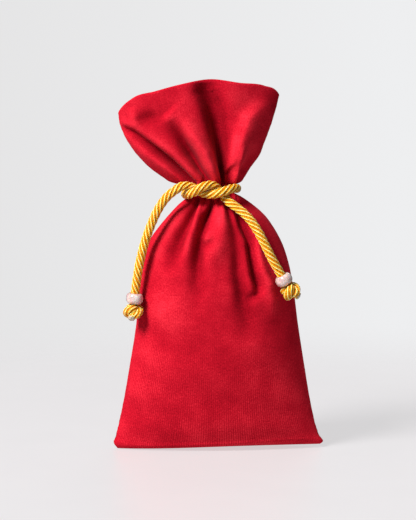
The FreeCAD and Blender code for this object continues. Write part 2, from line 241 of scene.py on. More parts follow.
# ---------------------------------------------------------------- cord, in mm
NECK_ROUTE = [
    (-18.5, -12.4, 125.7),
    (-16.8, -11.6, 126.3),
    (-12.8, -9.4, 125.9),
    (-8.4, -10.2, 122.9),
    (-3.2, -13.9, 122.1),
    (1.2, -15.0, 123.4),
    (6.0, -12.3, 125.2),
    (9.0, -6.0, 124.7),
    (8.0, 2.6, 124.3),
    (3.2, 9.0, 123.9),
    (-4.2, 10.9, 123.3),
    (-11.4, 8.4, 122.5),
    (-15.3, 1.6, 122.3),
    (-15.8, -6.4, 121.7),
    (-13.0, -13.6, 122.6),
    (-8.4, -15.4, 125.9),
    (-3.2, -12.4, 127.1),
    (0.2, -9.3, 124.1),
    (3.0, -11.5, 120.3),
]
LEFT_ROUTE = [
    (-20.6, -12.9, 124.3),
    (-24.2, -13.5, 121.7),
    (-28.1, -13.9, 116.6),
    (-31.6, -13.9, 109.2),
    (-34.9, -13.5, 100.2),
    (-37.3, -12.9, 90.6),
    (-39.0, -12.3, 80.7),
    (-40.0, -11.9, 70.8),
]
RIGHT_ROUTE = [
    (4.2, -13.1, 118.9),
    (8.0, -15.3, 116.4),
    (12.9, -17.2, 112.4),
    (17.1, -18.5, 106.8),
    (20.7, -19.3, 99.9),
    (24.1, -19.5, 92.9),
    (27.8, -19.0, 86.4),
    (31.3, -18.5, 80.3),
]
LAY_LENGTH = 19.0
STRANDS = 6
STRAND_OFFSET = 1.42
STRAND_RADIUS = 0.73
STRAND_SIDES = 12
ROPE_STEP = 0.4
FIBRE_STRETCH = 1.15
FIBRE_SHIFT = 37.0

# End knots
KNOT_LENGTH = 7.2
KNOT_REACH = 2.05
KNOT_SWING = 1.15
KNOT_RISE = 1.7
KNOT_CONTROLS = 24
KNOT_STEP = 0.35
KNOT_LAY = 15.0
KNOT_STRAND_OFFSET = 1.28
KNOT_STRAND_RADIUS = 0.68
LEFT_KNOT_TURN = 0.6
RIGHT_KNOT_TURN = 2.1

# Cut ends
LEFT_TIP_WAY = (-0.2, -0.75, -0.63)
RIGHT_TIP_WAY = (0.84, -0.2, -0.5)
STUB_FROM = 1.0
STUB_TO = 4.6
STUB_POINTS = 12
STUB_TWISTED = 4
STUB_STRAND_OFFSET = 1.15
STUB_STRAND_RADIUS = 0.6
CORE_PROFILE = ((0.05, 0.5), (0.7, 0.42), (1.25, 0.3), (1.6, 0.0), (1.5, -0.6), (0.05, -0.6))
CORE_SIDES = 24
CORE_FRAY = 0.12
CORE_SEED = 5

# Beads
BEAD_HALF_WIDTH = 4.1
BEAD_HALF_LENGTH = 2.5
BEAD_BORE = 2.4
BEAD_REST = 0.15
BEAD_ARC = 0.96
BEAD_POINTS = 25
BEAD_WALL = 0.75

# ---------------------------------------------------------------- filling, in mm
WAD_LEVELS = (9.5, 100)
WAD_ROWS = 40
WAD_COLUMNS = 64
WAD_SIDE_GAP = 9.5
WAD_DEPTH_GAP = 4.6
# The wad narrows towards both ends: the angle it starts at, and how blunt it is
WAD_END = 0.12
WAD_END_POWER = 0.35
WAD_LUMPS = (2, 3, 4, 5, 7)
WAD_LUMP_SIZE = 0.03
WAD_SEED = 21

# ---------------------------------------------------------------- colours and room
RIB_LENGTH = 0.95  # mm
# Velvet colours: the palest, pinkest stops are reached mostly on raised folds as painted highlight, the
# darkest mostly deep in folds as painted shade
VELVET_STOPS = [
    (0.25, (0.21, 0.0018, 0.007)),
    (0.48, (0.43, 0.006, 0.017)),
    (0.63, (0.62, 0.018, 0.034)),
    (0.78, (0.81, 0.036, 0.056)),
]
# Cord colours: the darkest stops are reached mostly in the strands' grooves as painted shade, the palest
# along their crests as painted highlight
CORD_STOPS = [
    (0.14, (0.42, 0.08, 0.0003)),
    (0.32, (0.85, 0.26, 0.0015)),
    (0.52, (1.0, 0.43, 0.006)),
    (0.75, (1.0, 0.62, 0.05)),
    (0.95, (1.0, 0.92, 0.42)),
]
CORE_STOPS = [(0.3, (0.3, 0.24, 0.17)), (0.7, (0.72, 0.66, 0.55))]
BEAD_STOPS = [(0.32, (0.48, 0.29, 0.26)), (0.52, (0.6, 0.44, 0.41)), (0.72, (0.7, 0.6, 0.56))]
THREAD_STOPS = [(0.3, (0.22, 0.002, 0.006)), (0.7, (0.48, 0.006, 0.015))]
FILLING_STOPS = [(0.3, (0.6, 0.58, 0.54)), (0.7, (0.86, 0.85, 0.82))]
FLOOR_STOPS = [(0.3, (0.142, 0.134, 0.137)), (0.7, (0.15, 0.142, 0.145))]
BACKDROP_STOPS = [(0.0, (0.77, 0.765, 0.77)), (1.0, (0.855, 0.86, 0.87))]
BACKDROP_LEAN = 0.13
BACKGROUND = (0.80, 0.785, 0.79)
ROOM_LIGHT = (0.9, 0.93, 1.0)
ROOM_STRENGTH = 0.22
FLOOR_GLOW = 0.73
FLOOR_FADE = (0.12, 0.55)  # m
FLOOR_RADIUS = 1400  # mm
FLOOR_SIDES = 64

# Lights and camera, in metres and watts; the point the camera looks at and its sensor are in mm
LIGHT_AIM = (0, 0, 0.08)
KEY_PLACE = (-1.2, -1.05, 1.5)
KEY_SIZE = 0.8
KEY_POWER = 92
FILL_PLACE = (0.5, 1.1, 1.2)
FILL_SIZE = 0.9
FILL_POWER = 3
CAMERA_AIM = (-5.0, -5.0, 90.8)
CAMERA_AWAY = 0.9
CAMERA_TURN = math.radians(-2.0)
CAMERA_UP = math.radians(5.0)
CAMERA_VIEW_HEIGHT = 0.2461
CAMERA_SENSOR = 24
CAMERA_CLIP = 0.02


# ---------------------------------------------------------------- meshes
def new_object(name, points, faces, material, smooth=True):
    mesh = bpy.data.meshes.new(name)
    mesh.from_pydata([tuple(p) for p in np.asarray(points) * MM], [], faces)
    mesh.validate()
    mesh.materials.append(material)
    mesh.polygons.foreach_set("use_smooth", [smooth] * len(mesh.polygons))
    mesh.update()
    made = bpy.data.objects.new(name, mesh)
    bpy.context.scene.collection.objects.link(made)
    return made


def set_uv(made, name, per_vertex):
    """One UV value for each vertex, in mm."""
    layer = made.data.uv_layers.new(name=name)
    corners = np.zeros(len(made.data.loops), int)
    made.data.loops.foreach_get("vertex_index", corners)
    layer.data.foreach_set("uv", np.asarray(per_vertex, np.float32)[corners].ravel())


def smooth_at(xs, ys, at):
    """Cubic curve through points, read at any places between them."""
    xs, ys, at = (np.asarray(v, float) for v in (xs, ys, at))
    slope = np.gradient(ys, xs)
    i = np.clip(np.searchsorted(xs, at) - 1, 0, len(xs) - 2)
    run = xs[i + 1] - xs[i]
    t = np.clip((at - xs[i]) / run, 0, 1)
    a = (2 * t**3 - 3 * t**2 + 1) * ys[i] + (t**3 - 2 * t**2 + t) * run * slope[i]
    b = (3 * t**2 - 2 * t**3) * ys[i + 1] + (t**3 - t**2) * run * slope[i + 1]
    return a + b


def ramp(low, high, at):
    t = np.clip((at - low) / (high - low), 0, 1)
    return t * t * (3 - 2 * t)


def run_along(line):
    """Distance from the start of a line to each of its points."""
    return np.concatenate([[0], np.cumsum(np.linalg.norm(np.diff(line, axis=0), axis=1))])


def crease(x, z, line, softness=EVEN):
    """How far one crease moves the cloth at each point: most on its line, fading to each side."""
    soft_left, soft_right, lip = softness
    line = np.array(line, float)
    line[:, 1] += CREASE_SHIFT * line[:, 3]
    best = np.full(x.shape, np.inf)
    moved = np.zeros(x.shape)
    for (z0, x0, d0, w0), (z1, x1, d1, w1) in zip(line, line[1:]):
        dx, dz = x1 - x0, z1 - z0
        t = np.clip(((x - x0) * dx + (z - z0) * dz) / (dx * dx + dz * dz), 0, 1)
        off_x, off_z = x - x0 - t * dx, z - z0 - t * dz
        away = np.hypot(off_x, off_z)
        right = dx * off_z - dz * off_x > 0
        width = w0 + t * (w1 - w0)
        depth = d0 + t * (d1 - d0)
        side = away / (width * np.where(right, soft_right, soft_left))
        amount = depth * np.exp(-(side**2))
        if lip:
            stands = np.exp(-(((away - LIP_AWAY * width) / (LIP_WIDTH * width)) ** 2))
            stands = stands * (1 - np.exp(-((away / width) ** 2)))
            amount = amount - np.where(right, lip * depth * stands, 0)
        nearer = away < best
        best = np.where(nearer, away, best)
        moved = np.where(nearer, amount, moved)
    return moved


def waviness(x, z, seed):
    """Sum of slow waves in drawn directions, between -2 and 2."""
    draw = np.random.default_rng(seed)
    total = np.zeros(x.shape)
    for _ in range(WAVES):
        length = draw.uniform(*WAVE_LENGTHS)
        way = draw.uniform(0, math.pi)
        across = x * math.cos(way) + z * math.sin(way)
        total += np.sin(2 * math.pi * across / length + draw.uniform(0, 6.28))
    return total / (WAVES / 2)


def section_at(z):
    heights = [s[0] for s in PROFILE]
    return [smooth_at(heights, [s[k] for s in PROFILE], z) for k in (1, 2, 3, 4)]


# ---------------------------------------------------------------- cloth panels
def edge_heights(xi, side):
    """The height at which each column meets the top edge, found in rounds: its width depends on it."""
    top_x, top_z = [p[0] for p in TOP_EDGE], [p[1] for p in TOP_EDGE]
    edge = np.full(COLUMNS, EDGE_START)
    for _ in range(EDGE_ROUNDS):
        middle, half, _, _ = section_at(edge)
        edge = smooth_at(top_x, top_z, middle + half * xi) - HEM_ROLL
    if side > 0:
        edge = edge - BACK_EDGE_DROP * (1 - np.abs(xi) ** 3)
    return edge


def row_heights(edge):
    """Heights of all points from the base to the top edge, and the number of the ruffle's first row."""
    body = np.linspace(BASE_TOP, NECK_FROM, BODY_ROWS)[:-1]
    neck = np.linspace(NECK_FROM, RUFFLE_FROM, NECK_ROWS)[:-1]
    level = np.concatenate([body, neck])
    rise = np.linspace(0, 1, RUFFLE_ROWS)[:, None]
    ruffle = RUFFLE_FROM + rise * (edge[None, :] - RUFFLE_FROM)
    return np.concatenate([np.repeat(level[:, None], COLUMNS, 1), ruffle]), len(level)


def plain_surface(xi, z, side):
    """The cloth without creases: its X, its Y, its outward direction and its half width."""
    middle, half, deep, full = section_at(z)
    ax = np.abs(xi)[None, :]
    shape = (1 - ax**full).clip(0) ** (1 / full)
    x = middle + half * xi[None, :]
    y = side * deep * shape
    nx = np.sign(xi)[None, :] * ax ** (full - 1) / half
    ny = side * shape ** (full - 1) / deep
    size = np.hypot(nx, ny)
    return x, y, nx / size, ny / size, half


def all_creases(x, z, half, ax, valleys, ridges, dents, seed):
    """How far each point stands out from the plain surface."""
    moved = np.zeros(x.shape)
    for line, softness in valleys:
        moved -= crease(x, z, line, softness)
    for line, softness in ridges:
        moved += crease(x, z, line, softness)
    for cx, cz, rx, rz, depth in dents:
        moved -= depth * np.exp(-(((x - cx) / rx) ** 2) - ((z - cz) / rz) ** 2)
    body = ramp(*BODY_WAVES_OVER, z) * (1 - ramp(*BODY_WAVES_UNTIL, z))
    moved += BODY_WAVES * waviness(x, z, seed) * body
    moved += RUFFLE_WAVES * waviness(x, z, seed + RUFFLE_SEED_STEP) * ramp(*RUFFLE_WAVES_OVER, z)
    margin = np.minimum(SEAM_MARGIN, SEAM_MARGIN_SHARE * half)
    moved *= ramp(0, margin, half * (1 - ax))
    ruffle_gain = (RUFFLE_GAIN - 1) * ramp(*RUFFLE_GAIN_OVER, z)
    body_gain = (BODY_GAIN - 1) * (1 - ramp(*BODY_GAIN_UNTIL, z))
    return moved * (1 + ruffle_gain + body_gain)


def seam_groove(y, z, ax, seed):
    """How far the cloth is drawn in along the side seams."""
    seam = np.exp(-((y / SEAM_WIDTH) ** 2)) * (ax > 0.5)
    (first, often), (second, oftener) = SEAM_PUCKERS
    pucker = SEAM_GROOVE + first * np.sin(z * often + seed) + second * np.sin(z * oftener)
    return seam * pucker


def base_rows(x, y, xi):
    """Rows from the bottom seam out to the outline at BASE_TOP."""
    angle = np.linspace(math.pi / 2, 0, BASE_ROWS, endpoint=False)[:, None]
    out, down = np.cos(angle) ** (2 / BASE_FULLNESS), np.sin(angle) ** (2 / BASE_FULLNESS)
    base_x = x[:1] - np.sign(xi)[None, :] * np.abs(xi)[None, :] * BASE_SHRINK * down**2
    return base_x, y[:1] * out, BASE_TOP * (1 - down) + 0 * base_x


def shaped_corners(x, y, z, xi):
    """The left corner round, the right one a small ear, and the base rising to the right."""
    right, left = ramp(CORNER_FROM, 1, xi)[None, :], ramp(CORNER_FROM, 1, -xi)[None, :]
    x = x + right * EAR * np.exp(-(((z - EAR_HEIGHT) / EAR_SPREAD) ** 2))
    x = x + left * LEFT_CORNER * np.exp(-((z / LEFT_CORNER_SPREAD) ** 2))
    in_front, behind = ramp(0, LIFT_DEPTH, -y), ramp(0, LIFT_DEPTH, y)
    under = in_front * (1 - SEAM_LIFT) + SEAM_LIFT - SEAM_LIFT * behind
    return x, z + LIFT * ramp(*LIFT_ACROSS, x) * under * (1 - ramp(0, LIFT_HEIGHT, z))


def rolled_edge(x, y, z, nx, ny):
    """Rows that roll over the top edge, towards the inside."""
    turn = np.linspace(0, math.pi, ROLL_POINTS)[1:, None]
    inward = HEM_ROLL * (1 - np.cos(turn))
    return x[-1:] - nx[-1:] * inward, y[-1:] - ny[-1:] * inward, z[-1:] + HEM_ROLL * np.sin(turn)


def cloth_panel(name, side, valleys, ridges, dents, seed, material):
    """One panel of the pouch, from the bottom seam up to the top edge and down again inside the mouth."""
    xi = -np.cos(math.pi * np.linspace(0, 1, COLUMNS))
    ax = np.abs(xi)[None, :]
    z, ruffle_row = row_heights(edge_heights(xi, side))
    x, y, nx, ny, half = plain_surface(xi, z, side)
    moved = all_creases(x, z, half, ax, valleys, ridges, dents, seed)
    x = x + moved * nx
    y = y + moved * ny
    x = x - np.sign(xi)[None, :] * seam_groove(y, z, ax, seed)
    y = np.where(side * y < 0, 0, y)

    base = base_rows(x, y, xi)
    x, y, z = (np.concatenate(pair) for pair in zip(base, (x, y, z)))
    moved, nx, ny = (np.concatenate([np.repeat(v[:1], BASE_ROWS, 0), v]) for v in (moved, nx, ny))
    ruffle_row += BASE_ROWS
    x, z = shaped_corners(x, y, z, xi)

    # The turned-in layer follows the ruffle's own rows, back down to the foot of the ruffle
    roll = rolled_edge(x, y, z, nx, ny)
    inside = slice(len(z) - 2, ruffle_row + 2, -1)
    lining = (
        x[inside] - nx[inside] * 2 * HEM_ROLL,
        y[inside] - ny[inside] * 2 * HEM_ROLL,
        z[inside],
    )
    moved = np.concatenate([moved, np.repeat(moved[-1:], ROLL_POINTS - 1, 0), moved[inside]])
    x, y, z = (np.concatenate(rows) for rows in zip((x, y, z), roll, lining))
    turned_in = np.arange(len(z))[:, None] > len(z) - len(lining[0]) - ROLL_POINTS + 1
    y = np.where(turned_in & (side * y < LINING_GAP), side * LINING_GAP * (1 - ax**8), y)
    return panel_object(name, side, x, y, z, moved, material)


def panel_object(name, side, x, y, z, moved, material):
    """The panel's mesh, with flat cloth coordinates and the depth of its folds."""
    points = np.stack([x, y, z], -1)
    index = np.arange(z.size).reshape(z.shape)
    quads = np.stack([index[:-1, :-1], index[:-1, 1:], index[1:, 1:], index[1:, :-1]], -1).reshape(-1, 4)
    if side > 0:
        quads = quads[:, ::-1]
    made = new_object(name, points.reshape(-1, 3), quads.tolist(), material)
    # Across is measured along one level row, up is measured along the middle column
    level = np.argmin(np.abs(z[:, 0] - FLAT_LEVEL))
    flat_u, flat_v = run_along(points[level]), run_along(points[:, COLUMNS // 2])
    uv = np.stack(np.broadcast_arrays(flat_u[None, :], flat_v[:, None]), -1).reshape(-1, 2)
    set_uv(made, "cloth", uv)
    # The fold depth also drives the velvet's painted shade in the valleys and painted highlight on the
    # ridges
    fold = made.data.attributes.new("fold", "FLOAT", "POINT")
    fold.data.foreach_set("value", moved.ravel().astype(np.float32))
    area = sum(p.area for p in made.data.polygons)
    print(f"{name}: {len(quads)} faces, area {area:.5f} m2, flat {flat_u[-1]:.1f} x {flat_v[-1]:.1f} mm")
    return made


# ---------------------------------------------------------------- lines and ropes
def spline_points(route, closed=False):
    """Points along a NURBS spline whose control points are the route's."""
    curve = bpy.data.curves.new("route", "CURVE")
    curve.dimensions = "3D"
    curve.resolution_u = 24
    spline = curve.splines.new("NURBS")
    spline.points.add(len(route) - 1)
    for point, place in zip(spline.points, route):
        point.co = (*place, 1)
    spline.order_u = 3
    if closed:
        spline.use_cyclic_u = True
    else:
        spline.use_endpoint_u = True
    holder = bpy.data.objects.new("route", curve)
    mesh = bpy.data.meshes.new_from_object(holder)
    line = np.array([v.co for v in mesh.vertices], float)
    bpy.data.objects.remove(holder)
    bpy.data.meshes.remove(mesh)
    bpy.data.curves.remove(curve)
    keep = np.concatenate([[True], np.linalg.norm(np.diff(line, axis=0), axis=1) > 1e-6])
    return line[keep]


def even(line, step):
    """The same line with points at even distances."""
    run = np.concatenate([[0], np.cumsum(np.linalg.norm(np.diff(line, axis=0), axis=1))])
    count = max(2, int(round(run[-1] / step)) + 1)
    at = np.linspace(0, run[-1], count)
    return np.stack([np.interp(at, run, line[:, k]) for k in range(3)], -1)


def frames(line, closed=False):
    """Two unit vectors across the line at each point, carried along it without twist."""
    if closed:
        along = np.roll(line, -1, 0) - np.roll(line, 1, 0)
    else:
        along = np.gradient(line, axis=0)
    along /= np.linalg.norm(along, axis=1)[:, None]
    first = np.cross(along[0], (0.3, 1, 0.2))
    first /= np.linalg.norm(first)
    one = [first]
    for before, after in zip(along, along[1:]):
        axis = np.cross(before, after)
        carried = one[-1]
        size = np.linalg.norm(axis)
        if size > 1e-9:
            axis = axis / size
            angle = math.atan2(size, float(before @ after))
            carried = (
                carried * math.cos(angle)
                + np.cross(axis, carried) * math.sin(angle)
                + axis * (axis @ carried) * (1 - math.cos(angle))
            )
        carried = carried - after * (carried @ after)
        one.append(carried / np.linalg.norm(carried))
    one = np.array(one)
    return one, np.cross(along, one)


def rope(name, line, one, two, twist, material, offset=STRAND_OFFSET, radius=STRAND_RADIUS, closed=False):
    """Strands twisted round a line."""
    run = run_along(line)
    points, faces, uv = [], [], []
    sides = STRAND_SIDES
    count = len(line)
    for strand in range(STRANDS):
        turn = twist + 2 * math.pi * strand / STRANDS
        out = one * np.cos(turn)[:, None] + two * np.sin(turn)[:, None]
        centre = line + out * offset
        if closed:
            along = np.roll(centre, -1, 0) - np.roll(centre, 1, 0)
        else:
            along = np.gradient(centre, axis=0)
        along /= np.linalg.norm(along, axis=1)[:, None]
        up = out - along * np.sum(out * along, 1)[:, None]
        up /= np.linalg.norm(up, axis=1)[:, None]
        over = np.cross(along, up)
        start = len(points) * count * sides
        ring = []
        for k in range(sides):
            a = 2 * math.pi * k / sides
            ring.append(centre + radius * (up * math.cos(a) + over * math.sin(a)))
        points.append(np.stack(ring, 1).reshape(-1, 3))
        around = np.minimum(np.arange(sides), sides - np.arange(sides)) / (sides / 2)
        u = np.repeat((run * FIBRE_STRETCH + FIBRE_SHIFT * strand)[:, None], sides, 1)
        uv.append(np.stack([u, np.broadcast_to(around[None, :], u.shape)], -1).reshape(-1, 2))
        index = start + np.arange(count * sides).reshape(count, sides)
        following = np.roll(index, -1, 0) if closed else index[1:]
        current = index if closed else index[:-1]
        corners = [current, np.roll(current, -1, 1), np.roll(following, -1, 1), following]
        faces += np.stack(corners, -1).reshape(-1, 4).tolist()
        if not closed:
            faces.append(index[0][::-1].tolist())
            faces.append(index[-1].tolist())
    made = new_object(name, np.concatenate(points), faces, material)
    set_uv(made, "strand", np.concatenate(uv))
    return made


def lathe(name, profile, place, heading, material, sides=64):
    """A closed profile of radius and height, turned about an axis."""
    profile = np.array(profile, float)
    axis = np.array(heading, float) / np.linalg.norm(heading)
    one = np.cross(axis, (0, 1, 0))
    one /= np.linalg.norm(one)
    two = np.cross(axis, one)
    points = []
    for k in range(sides):
        a = 2 * math.pi * k / sides
        out = one * math.cos(a) + two * math.sin(a)
        points.append(place + profile[:, :1] * out + profile[:, 1:] * axis)
    n = len(profile)
    index = np.arange(sides * n).reshape(sides, n)
    nxt, up = np.roll(index, -1, 0), np.roll(index, -1, 1)
    quads = np.stack([index, nxt, np.roll(nxt, -1, 1), up], -1).reshape(-1, 4)
    return new_object(name, np.concatenate(points), quads.tolist(), material)


# ---------------------------------------------------------------- material nodes
def new_material(name):
    made = bpy.data.materials.new(name)
    made.use_nodes = True
    tree = made.node_tree
    shader = next(n for n in tree.nodes if n.type == "BSDF_PRINCIPLED")
    return made, tree, shader


def set_inputs(tree, made, values):
    """Link or set inputs of a node."""
    for key, value in dict(values).items():
        if isinstance(value, bpy.types.NodeSocket):
            tree.links.new(value, made.inputs[key])
        else:
            made.inputs[key].default_value = value


def node(tree, kind, values=(), **settings):
    made = tree.nodes.new(kind)
    for key, value in settings.items():
        setattr(made, key, value)
    set_inputs(tree, made, values)
    return made


def math_node(tree, operation, *values):
    return node(tree, "ShaderNodeMath", dict(enumerate(values)), operation=operation).outputs[0]


def add(tree, first, second):
    return math_node(tree, "ADD", first, second)


def subtract(tree, first, second):
    return math_node(tree, "SUBTRACT", first, second)


def times(tree, first, second):
    return math_node(tree, "MULTIPLY", first, second)


def noise(tree, vector, scale, detail=2.0, rough=0.5):
    made = node(
        tree, "ShaderNodeTexNoise", {"Vector": vector, "Scale": scale, "Detail": detail, "Roughness": rough}
    )
    return made.outputs["Fac"]


def scaled(tree, vector, factors):
    return node(tree, "ShaderNodeVectorMath", {0: vector, 1: factors}, operation="MULTIPLY").outputs[0]


def object_place(tree):
    return node(tree, "ShaderNodeTexCoord").outputs["Object"]


def map_range(tree, value, low, high, to_low=0.0, to_high=1.0, curve="LINEAR"):
    values = {"Value": value, "From Min": low, "From Max": high, "To Min": to_low, "To Max": to_high}
    return node(tree, "ShaderNodeMapRange", values, interpolation_type=curve).outputs["Result"]


def ramp_color(tree, factor, stops):
    made = node(tree, "ShaderNodeValToRGB", {"Fac": factor})
    elements = made.color_ramp.elements
    elements[0].position, elements[0].color = stops[0][0], (*stops[0][1], 1)
    elements[1].position, elements[1].color = stops[-1][0], (*stops[-1][1], 1)
    for position, color in stops[1:-1]:
        elements.new(position).color = (*color, 1)
    return made.outputs["Color"]


def bump(tree, shader, height, strength, distance):
    made = node(tree, "ShaderNodeBump", {"Strength": strength, "Distance": distance, "Height": height})
    tree.links.new(made.outputs["Normal"], shader.inputs["Normal"])


# ---------------------------------------------------------------- materials
def velvet_material():
    made, tree, shader = new_material("velvet")
    uv = node(tree, "ShaderNodeUVMap", uv_map="cloth").outputs["UV"]
    place = object_place(tree)
    cloth_x = node(tree, "ShaderNodeSeparateXYZ", {0: uv}).outputs["X"]
    rib = math_node(tree, "SINE", times(tree, cloth_x, 2 * math.pi / RIB_LENGTH))
    pile = noise(tree, scaled(tree, uv, (1.0, 0.7, 1.0)), scale=1.7, detail=3.0, rough=0.6)
    mottle = noise(tree, place, scale=130.0, detail=4.0, rough=0.62)
    patches = noise(tree, place, scale=28.0, detail=2.0, rough=0.5)
    # The ribs of the weave show in patches, and most near the base
    height_up = node(tree, "ShaderNodeSeparateXYZ", {0: place}).outputs["Z"]
    low = map_range(tree, height_up, low=0.03, high=0.085, to_low=0.12, to_high=0.01)
    rib_here = times(tree, rib, times(tree, patches, low))
    tone = add(tree, add(tree, times(tree, mottle, 0.27), 0.085), times(tree, pile, 0.55))
    tone = add(tree, tone, rib_here)
    tone = add(tree, tone, times(tree, subtract(tree, patches, 0.55), 0.3))
    # Painted shade deep in the folds and painted highlight where they stand out, set by the depth of each
    # fold
    fold = node(tree, "ShaderNodeAttribute", attribute_name="fold").outputs["Fac"]
    painted_fold_shading = map_range(tree, fold, low=-4.0, high=3.0, to_low=-0.2, to_high=0.12, curve="SMOOTHSTEP")
    tone = add(tree, tone, painted_fold_shading)
    set_inputs(tree, shader, {
        "Base Color": ramp_color(tree, tone, VELVET_STOPS),
        "Roughness": add(tree, times(tree, pile, 0.2), 0.72),
        "Specular IOR Level": 0.0,
        "Sheen Weight": 0.18,
        "Sheen Roughness": 0.4,
        "Sheen Tint": (1.0, 0.16, 0.2, 1),
    })
    height = add(tree, times(tree, rib_here, 1.5), pile)
    bump(tree, shader, height, 0.35, 0.00025)
    return made


def cord_material():
    made, tree, shader = new_material("cord")
    uv = node(tree, "ShaderNodeUVMap", uv_map="strand").outputs["UV"]
    split = node(tree, "ShaderNodeSeparateXYZ", {0: uv})
    along, around = split.outputs["X"], split.outputs["Y"]
    # Fibres run along each strand and slant slowly across it
    slanted = add(tree, around, times(tree, along, 0.05))
    fibre_at = node(tree, "ShaderNodeCombineXYZ", {"X": times(tree, along, 0.035), "Y": slanted})
    fibres = noise(tree, fibre_at.outputs[0], scale=15.0, detail=3.0, rough=0.65)
    patches = noise(tree, object_place(tree), scale=260.0, detail=2.0)
    tone = add(tree, times(tree, fibres, 0.5), times(tree, patches, 0.2))
    # Painted shade: darker towards the inner side of each strand, where the strands meet in grooves
    tone = add(tree, tone, times(tree, subtract(tree, 0.38, around), 0.85))
    # Painted highlight: a bright line along the outer crest of each strand
    painted_crest_highlight = map_range(tree, around, low=0.02, high=0.17, to_low=0.32, to_high=0.0, curve="SMOOTHSTEP")
    tone = add(tree, tone, painted_crest_highlight)
    set_inputs(tree, shader, {
        "Base Color": ramp_color(tree, tone, CORD_STOPS),
        "Roughness": add(tree, times(tree, fibres, 0.25), 0.24),
        "Subsurface Weight": 0.3,
        "Subsurface Radius": (1.0, 0.45, 0.05),
        "Subsurface Scale": 0.0012,
        "Specular IOR Level": 0.6,
        "Specular Tint": (1.0, 0.85, 0.4, 1),
    })
    bump(tree, shader, fibres, 1.0, 0.0007)
    return made


def grained_material(name, grain, stops, rough, bumps):
    """A material whose colour, roughness and bumps all follow one noise.

    The grain is scale, detail and roughness of the noise; rough is its spread and its least value;
    bumps are strength and distance.
    """
    made, tree, shader = new_material(name)
    value = noise(tree, object_place(tree), *grain)
    spread, least = rough
    set_inputs(tree, shader, {
        "Base Color": ramp_color(tree, value, stops),
        "Roughness": add(tree, times(tree, value, spread), least),
    })
    bump(tree, shader, value, *bumps)
    return made, tree, shader


def bead_material():
    grain, rough, bumps = (420.0, 3.0, 0.6), (0.15, 0.1), (0.12, 0.0003)
    made, tree, shader = grained_material("bead", grain, BEAD_STOPS, rough, bumps)
    set_inputs(tree, shader, {
        "Coat Weight": 1.0,
        "Coat Roughness": 0.06,
        "Subsurface Weight": 0.25,
        "Subsurface Scale": 0.002,
    })
    return made


def floor_material():
    """Pale sweep that turns into the plain background away from the pouch."""
    made, tree, shader = new_material("floor")
    place = object_place(tree)
    away = node(tree, "ShaderNodeVectorMath", {0: place}, operation="LENGTH").outputs["Value"]
    fade = map_range(tree, away, *FLOOR_FADE, curve="SMOOTHERSTEP")
    set_inputs(tree, shader, {
        "Base Color": ramp_color(tree, noise(tree, place, 30.0, 2.0), FLOOR_STOPS),
        "Emission Color": (*BACKGROUND, 1),
        "Emission Strength": FLOOR_GLOW,
        "Roughness": 0.42,
        "Specular IOR Level": 0.5,
    })
    clear = node(tree, "ShaderNodeBsdfTransparent")
    mixed = node(tree, "ShaderNodeMixShader", {0: fade, 1: shader.outputs[0], 2: clear.outputs[0]})
    output = next(n for n in tree.nodes if n.type == "OUTPUT_MATERIAL")
    tree.links.new(mixed.outputs[0], output.inputs["Surface"])
    return made


VELVET = velvet_material()
GOLD = cord_material()
CORE = grained_material("cord_core", (1500.0, 3.0, 0.7), CORE_STOPS, (0.3, 0.6), (0.6, 0.0004))[0]
PEARL = bead_material()
THREAD = grained_material("thread", (2600.0, 2.0), THREAD_STOPS, (0.3, 0.5), (0.3, 0.0001))[0]
WAD = grained_material("filling", (240.0, 4.0, 0.7), FILLING_STOPS, (0.2, 0.75), (0.8, 0.001))[0]


def declare(piece, body, node_name):
    """The body a piece moves with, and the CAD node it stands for."""
    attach(piece, body)
    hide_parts(node_name)


# ---------------------------------------------------------------- cord
line = even(spline_points(LEFT_ROUTE[::-1] + NECK_ROUTE + RIGHT_ROUTE), ROPE_STEP)
one, two = frames(line)
run = np.arange(len(line)) * np.linalg.norm(line[1] - line[0])
twist = -2 * math.pi * run / LAY_LENGTH


def nearest(place):
    """The number of the cord's point that is nearest to a place."""
    return int(np.argmin(np.linalg.norm(line - np.array(place), axis=1)))


def cord_piece(name, first, last):
    part = slice(first, last + 1)
    return rope(name, line[part], one[part], two[part], twist[part], GOLD)


left_cut, right_cut = nearest(LEFT_ROUTE[0]), nearest(RIGHT_ROUTE[0])
left_cord = cord_piece("left_rope", 0, left_cut)
neck_cord = cord_piece("neck_rope", left_cut, right_cut)
right_cord = cord_piece("right_rope", right_cut, len(line) - 1)


def end_of(points):
    """The last point of a route and the direction in which the route arrives there."""
    end, before = np.array(points[-1]), np.array(points[-2])
    heading = end - before
    return end, heading / np.linalg.norm(heading)


def knot_line(end, heading, turned):
    """A closed overhand knot about the cord's direction, its upper face on the cord's end."""
    side = np.cross(heading, (0, 1, 0))
    side /= np.linalg.norm(side)
    other = np.cross(heading, side)
    middle = end + heading * (KNOT_LENGTH / 2)
    control = []
    for t in np.linspace(0, 2 * math.pi, KNOT_CONTROLS, endpoint=False):
        reach = KNOT_REACH + KNOT_SWING * math.cos(3 * t)
        a = 2 * t + turned
        flat = side * reach * math.cos(a) + other * reach * math.sin(a)
        control.append(tuple(middle + flat + heading * KNOT_RISE * math.sin(3 * t)))
    return even(spline_points(control, closed=True), KNOT_STEP)


def end_knot(name, end, heading, turned):
    knot = knot_line(end, heading, turned)
    if np.linalg.norm(knot[0] - knot[-1]) < 0.1:
        knot = knot[:-1]
    a, b = frames(knot, closed=True)
    # Angle left over after one trip round, spread evenly with a whole number of turns
    along = knot[0] - knot[-1]
    along /= np.linalg.norm(along)
    over = math.atan2(float(np.cross(a[-1], a[0]) @ along), float(a[-1] @ a[0]))
    turns = -round(run_along(knot)[-1] / KNOT_LAY)
    turning = np.arange(len(knot)) / len(knot) * (2 * math.pi * turns + over)
    return rope(name, knot, a, b, turning, GOLD, KNOT_STRAND_OFFSET, KNOT_STRAND_RADIUS, closed=True)


